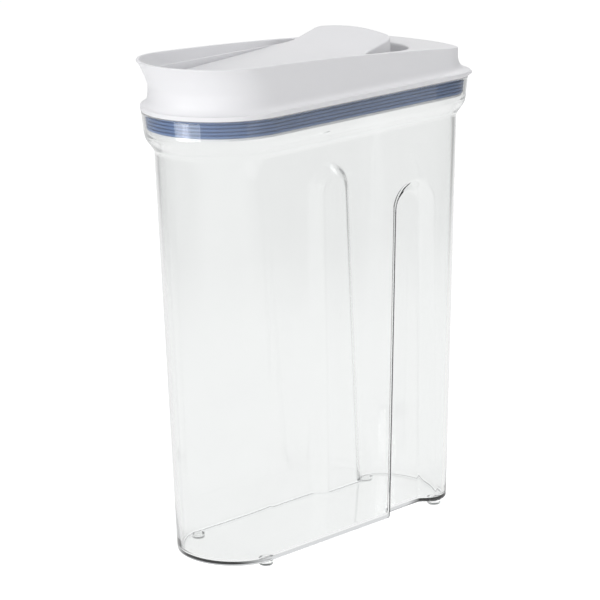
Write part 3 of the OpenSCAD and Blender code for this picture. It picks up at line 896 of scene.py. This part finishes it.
def near_step(t):
    """1 on the front slope of the recess on the +X side, 0 elsewhere: where painted shade goes."""
    b = bpy.context.scene.container_body
    first, reach, over = Body(b).recess_y - b.recess_w / 2, 18 * MM, 1 * MM
    upright = 0.6  # largest upward part of the normal
    place = axes(t, object_place(t))
    normal = axes(t, add(t, "ShaderNodeNewGeometry").outputs["Normal"])
    inside = 1.0
    for test in (
        ("GREATER_THAN", place["X"], 0.0),
        ("GREATER_THAN", place["Y"], first - over),
        ("LESS_THAN", place["Y"], first + reach),
        ("LESS_THAN", place["Z"], b.foot + b.recess_top + over),
        ("LESS_THAN", maths(t, "ABSOLUTE", normal["Z"]), upright),
    ):
        inside = maths(t, "MULTIPLY", inside, maths(t, *test))
    return inside


def edge_glow(t, step):
    """Strength of the painted glow that ends long paths inside the walls: grey, but dark in the near step
    of a recess, as painted shade. Near the bottom the painted glow is pale along the straight sides and
    dark in the rounded ends, set by place. The second output is 1 near the bottom."""
    b = bpy.context.scene.container_body
    s, bottom, grey, pale, dark = Body(b), 8.5 * MM, 0.45, 0.72, 0.02
    place = axes(t, object_place(t))
    low = maths(t, "LESS_THAN", place["Z"], bottom)
    # painted light and shade near the bottom: pale along the straight sides, dark in the rounded ends, set
    # by place along Y
    edge = stops(
        t,
        ranged(t, place["Y"], s.front_y, s.rear - b.corner),
        (0.0, (dark, dark, dark)),
        (0.08, (pale, pale, 0.73)),
        (0.92, (pale, pale, pale)),
        (1.0, (dark, dark, dark)),
    )
    # painted shade: the glow is dark in the near step of a recess
    walls = maths(t, "MULTIPLY_ADD", step, dark - grey, grey)
    return add(t, "ShaderNodeMix", {0: low, 2: walls, 3: edge}).outputs[0], low


def clear_plastic():
    """Water-clear plastic. Shadow rays pass straight through, so that the floor below stays light."""
    if "clear_moulding" in bpy.data.materials:
        return bpy.data.materials["clear_moulding"]
    b = bpy.context.scene.container_body
    mat, t = new_material("clear_moulding")
    grain = grained(t, b.tint, b.haze, scale=60, shade=0.01, change=0.01)
    relief = add(t, "ShaderNodeBump", {"Height": grain["Height"], "Strength": 0.02, "Distance": 0.1 * MM})
    clear = add(
        t,
        "ShaderNodeBsdfPrincipled",
        {
            "Base Color": grain["Colour"],
            "Roughness": grain["Roughness"],
            "Normal": relief.outputs["Normal"],
            "IOR": 1.5,
            "Transmission Weight": 1.0,
        },
    )
    # painted shade: a black diffuse is mixed in on the near step of a recess where it is seen edge-on, on
    # the +X side only
    step = near_step(t)
    facing = add(t, "ShaderNodeLayerWeight", {"Blend": 0.5}).outputs["Facing"]
    edge_on_shade = maths(t, "MULTIPLY", ranged(t, facing, 0.5, 0.72), step)
    painted_edge_black = add(t, "ShaderNodeBsdfDiffuse", {"Color": (0.01, 0.01, 0.012, 1)})
    shader = either(t, edge_on_shade, clear.outputs[0], painted_edge_black.outputs[0])
    path = add(t, "ShaderNodeLightPath").outputs
    through = add(t, "ShaderNodeBsdfTransparent", {"Color": (0.93, 0.94, 0.94, 1)})
    shader = either(t, path["Is Shadow Ray"], shader, through.outputs[0])
    # painted light: paths that have turned too often inside the walls end in a glow that stands in for the
    # room's light, sooner near the bottom
    turns, crossings = 2.5, 9.5
    glow, low = edge_glow(t, step)
    allowed = maths(t, "MULTIPLY_ADD", low, -1.0, turns)
    lost = maths(
        t,
        "MAXIMUM",
        maths(t, "GREATER_THAN", path["Glossy Depth"], allowed),
        maths(t, "GREATER_THAN", path["Transmission Depth"], crossings),
    )
    # painted light: the plastic itself glows here, though it is no lamp
    room = add(t, "ShaderNodeEmission", {"Color": (0.97, 0.99, 1, 1), "Strength": glow})
    shader = either(t, lost, shader, room.outputs[0])
    add(t, "ShaderNodeOutputMaterial", {"Surface": shader})
    mat.diffuse_color = (*b.tint, 0.3)
    return mat


class CONTAINER_OT_finishes(Operator):
    """Give the pieces that keep their own shape their finishes"""

    bl_idname = "container.finishes"
    bl_label = "Finishes"

    def execute(self, context):
        wear = {
            "lid_liner": liner_plastic(),
            "flap_inner_plate": liner_plastic(),
            "flap_seal": seal_rubber(),
            "hinge_axle": pin_steel(),
            "container_body": clear_plastic(),
            "lid_shell": white_plastic(),
            "lid_gasket": seal_rubber(),
            "flap_cover": white_plastic(),
        }
        for name, mat in wear.items():
            node = frame["nodes"][name]
            for slot in node.material_slots:
                slot.material = mat
        return {"FINISHED"}


# ---- studio ----

VIEW_AZ, VIEW_EL, VIEW_ROLL = math.radians(44.855), math.radians(14.817), math.radians(-0.9616)
VIEW_PLACE, LENS = (1.1476, -1.16111, 0.57476), 168.06
FLOOR_Z, FLOOR_R = -0.2 * MM, 9.0

# name, place, width and height, power, aim and whether glossy surfaces show it
LAMPS = (
    ("key", (-0.35, -2.6, 1.0), (1.2, 0.6), 14, (0, 0, 0.2), True),
    ("fill", (0.9, -2.45, 1.1), (1.4, 1.4), 21, (0, 0, 0.2), False),
    ("side", (2.3, -1.0, 1.1), (1.4, 1.4), 3.5, (0, 0, 0.2), False),
    ("rear", (0.1, 1.9, 2.1), (1.6, 1.6), 17, (0, 0, 0.25), True),
)
# place, width and height, brightness and aim of the lamps that only the clear collar shows
STRIPS = (
    ((0.005, -0.213, 0.224), (0.095, 0.026), 4.0, (0, 1, 0)),
    ((-0.0076, -0.2131, 0.224), (0.05, 0.026), 2.6, (0, 1, 0)),
    ((0, -0.2132, 0.224), (0.022, 0.026), 3.0, (0, 1, 0)),
    ((0.15, 0.0446, 0.223), (0.29, 0.034), 0.7, (-1, 0, 0)),
)


class CONTAINER_OT_stage(Operator):
    """Build the pale floor, the soft light and the camera"""

    bl_idname = "container.stage"
    bl_label = "Studio"

    def execute(self, context):
        studio = context.scene.container_studio
        mesh = bpy.data.meshes.new("floor")
        sides = 96
        turns = [2 * math.pi * k / sides for k in range(sides)]
        ring = [(FLOOR_R * math.cos(a), FLOOR_R * math.sin(a), FLOOR_Z) for a in turns]
        mesh.from_pydata(ring, [], [tuple(range(len(ring)))])
        floor = bpy.data.objects.new("floor", mesh)
        context.scene.collection.objects.link(floor)
        mesh.materials.append(floor_material(studio))
        world(studio)
        for name, place, size, power, aim, shown in LAMPS:
            lamp(name, place, size, power * studio.light, aim).visible_glossy = shown
        camera()
        return {"FINISHED"}


class CONTAINER_OT_strips(Operator):
    """Build the small strip lamps that the clear collar shows in front of the gasket"""

    bl_idname = "container.strips"
    bl_label = "Strip Lamps"

    def execute(self, context):
        only = bpy.data.collections.new("shows_strips")
        only.objects.link(bpy.data.objects["clear_body"])
        for place, size, strength, aim in STRIPS:
            energy = math.pi * size[0] * size[1] * strength * context.scene.container_studio.light
            obj = lamp("strip", place, size, energy, [p + a for p, a in zip(place, aim)])
            obj.visible_camera = obj.visible_diffuse = obj.visible_transmission = False
            obj.light_linking.receiver_collection = only
        return {"FINISHED"}


def beside(tree, where):
    """How far a place lies to either side of the line that runs straight behind the container."""
    across = {0: where, 1: (math.cos(VIEW_AZ), math.sin(VIEW_AZ), 0)}
    off = add(tree, "ShaderNodeVectorMath", across, operation="DOT_PRODUCT")
    return maths(tree, "ABSOLUTE", off.outputs["Value"])


def floor_material(studio):
    """Pale floor, a little lighter in itself where the camera sees it straight."""
    mat, t = new_material("pale_floor")
    where = object_place(t)
    cloud = noise(t, where, 1.5, 2.0)
    tone = blend(t, cloud, (*[c * 0.99 for c in studio.floor], 1), (*studio.floor, 1))
    diffuse = add(t, "ShaderNodeBsdfDiffuse", {"Color": tone}).outputs[0]
    glow = add(t, "ShaderNodeEmission", {"Color": (1, 1, 1, 1), "Strength": 0.42})
    path = add(t, "ShaderNodeLightPath").outputs
    both = add(t, "ShaderNodeAddShader", {0: diffuse, 1: glow.outputs[0]})
    shader = either(t, path["Is Camera Ray"], diffuse, both.outputs[0])
    # rays that leave the clear walls see white straight behind the container and grey off to the sides
    white_to, grey_from, grey, glossy = 0.35, 0.9, 0.35, 0.5
    screen = ranged(t, beside(t, where), white_to, grey_from, 1.0, grey)
    screen.node.interpolation_type = "SMOOTHSTEP"
    screen = maths(t, "MAXIMUM", screen, maths(t, "MULTIPLY", path["Is Glossy Ray"], glossy))
    shown = add(t, "ShaderNodeEmission", {"Color": (1, 1, 1, 1), "Strength": screen})
    bent = maths(t, "MAXIMUM", path["Is Glossy Ray"], path["Is Transmission Ray"])
    shader = either(t, bent, shader, shown.outputs[0])
    add(t, "ShaderNodeOutputMaterial", {"Surface": shader})
    return mat


def world(studio):
    """Plain light, with white for the camera and a white and dark room for bent rays."""
    w = bpy.data.worlds.new("studio")
    bpy.context.scene.world = w
    w.use_nodes = True
    t = w.node_tree
    t.nodes.clear()
    white, strength = (1, 1, 1, 1), 0.53 * studio.light
    path = add(t, "ShaderNodeLightPath").outputs
    where = add(t, "ShaderNodeTexCoord").outputs["Generated"]
    room = stops(t, axes(t, where)["Z"], (0.1, (0.08, 0.08, 0.09)), (0.6, white[:3]))
    lit = blend(t, ranged(t, beside(t, where), 0.3, 0.6, 1.0, 0.0), room, white)
    plain, shown, clean = (
        add(t, "ShaderNodeBackground", {"Color": colour, "Strength": bright}).outputs[0]
        for colour, bright in ((white, strength), (lit, 1.0), (white, 1.0))
    )
    bent = maths(t, "MAXIMUM", path["Is Glossy Ray"], path["Is Transmission Ray"])
    shader = either(t, path["Is Camera Ray"], either(t, bent, plain, shown), clean)
    add(t, "ShaderNodeOutputWorld", {"Surface": shader})


def lamp(name, place, size, energy, aim):
    data = bpy.data.lights.new(name, "AREA")
    data.shape = "RECTANGLE"
    data.size, data.size_y = size
    data.energy = energy
    obj = bpy.data.objects.new(name, data)
    bpy.context.scene.collection.objects.link(obj)
    obj.location = place
    obj.rotation_euler = (Vector(aim) - Vector(place)).to_track_quat("-Z", "Y").to_euler()
    return obj


def camera():
    data = bpy.data.cameras.new("camera")
    data.sensor_width = 36
    data.lens = LENS
    data.clip_start, data.clip_end = 0.05, 50
    obj = bpy.data.objects.new("camera", data)
    bpy.context.scene.collection.objects.link(obj)
    az, el, roll = VIEW_AZ, VIEW_EL, VIEW_ROLL
    ahead = -Vector((math.sin(az) * math.cos(el), -math.cos(az) * math.cos(el), math.sin(el)))
    right = ahead.cross(Vector((0, 0, 1))).normalized()
    up = right.cross(ahead)
    across = right * math.cos(roll) + up * math.sin(roll)
    upward = up * math.cos(roll) - right * math.sin(roll)
    turn = Matrix((across, upward, -ahead)).transposed()
    obj.matrix_world = Matrix.Translation(VIEW_PLACE) @ turn.to_4x4()
    bpy.context.scene.camera = obj


# ---- panel and run ----


class CONTAINER_PT_panel(Panel):
    """Lists the steps and the settings"""

    bl_idname = "CONTAINER_PT_panel"
    bl_label = "Cereal Container"
    bl_space_type = "VIEW_3D"
    bl_region_type = "UI"
    bl_category = "Container"

    def draw(self, context):
        layout = self.layout
        for op in STEPS:
            layout.operator(op.bl_idname)
        for name in GROUPS:
            box, group = layout.box(), getattr(context.scene, name)
            for key in group.bl_rna.properties.keys():
                if key not in ("rna_type", "name"):
                    box.prop(group, key)


STEPS = (
    CONTAINER_OT_stage,
    CONTAINER_OT_body,
    CONTAINER_OT_feet,
    CONTAINER_OT_lid,
    CONTAINER_OT_gasket,
    CONTAINER_OT_strips,
    CONTAINER_OT_flap,
    CONTAINER_OT_finishes,
)
GROUPS = {
    "container_body": BodySettings,
    "container_lid": LidSettings,
    "container_studio": StudioSettings,
}


def register():
    for cls in (*GROUPS.values(), *STEPS, CONTAINER_PT_panel):
        bpy.utils.register_class(cls)
    for name, cls in GROUPS.items():
        setattr(bpy.types.Scene, name, PointerProperty(type=cls))


def unregister():
    for name in GROUPS:
        delattr(bpy.types.Scene, name)
    for cls in (CONTAINER_PT_panel, *reversed(STEPS), *GROUPS.values()):
        bpy.utils.unregister_class(cls)


def run(step):
    group, name = step.bl_idname.split(".")
    if getattr(getattr(bpy.ops, group), name)() != {"FINISHED"}:
        raise RuntimeError(f"{step.bl_label} did not finish")


def main():
    register()
    bpy.context.scene.view_settings.view_transform = "Standard"
    for step in STEPS:
        run(step)


if __name__ == "__main__":
    main()
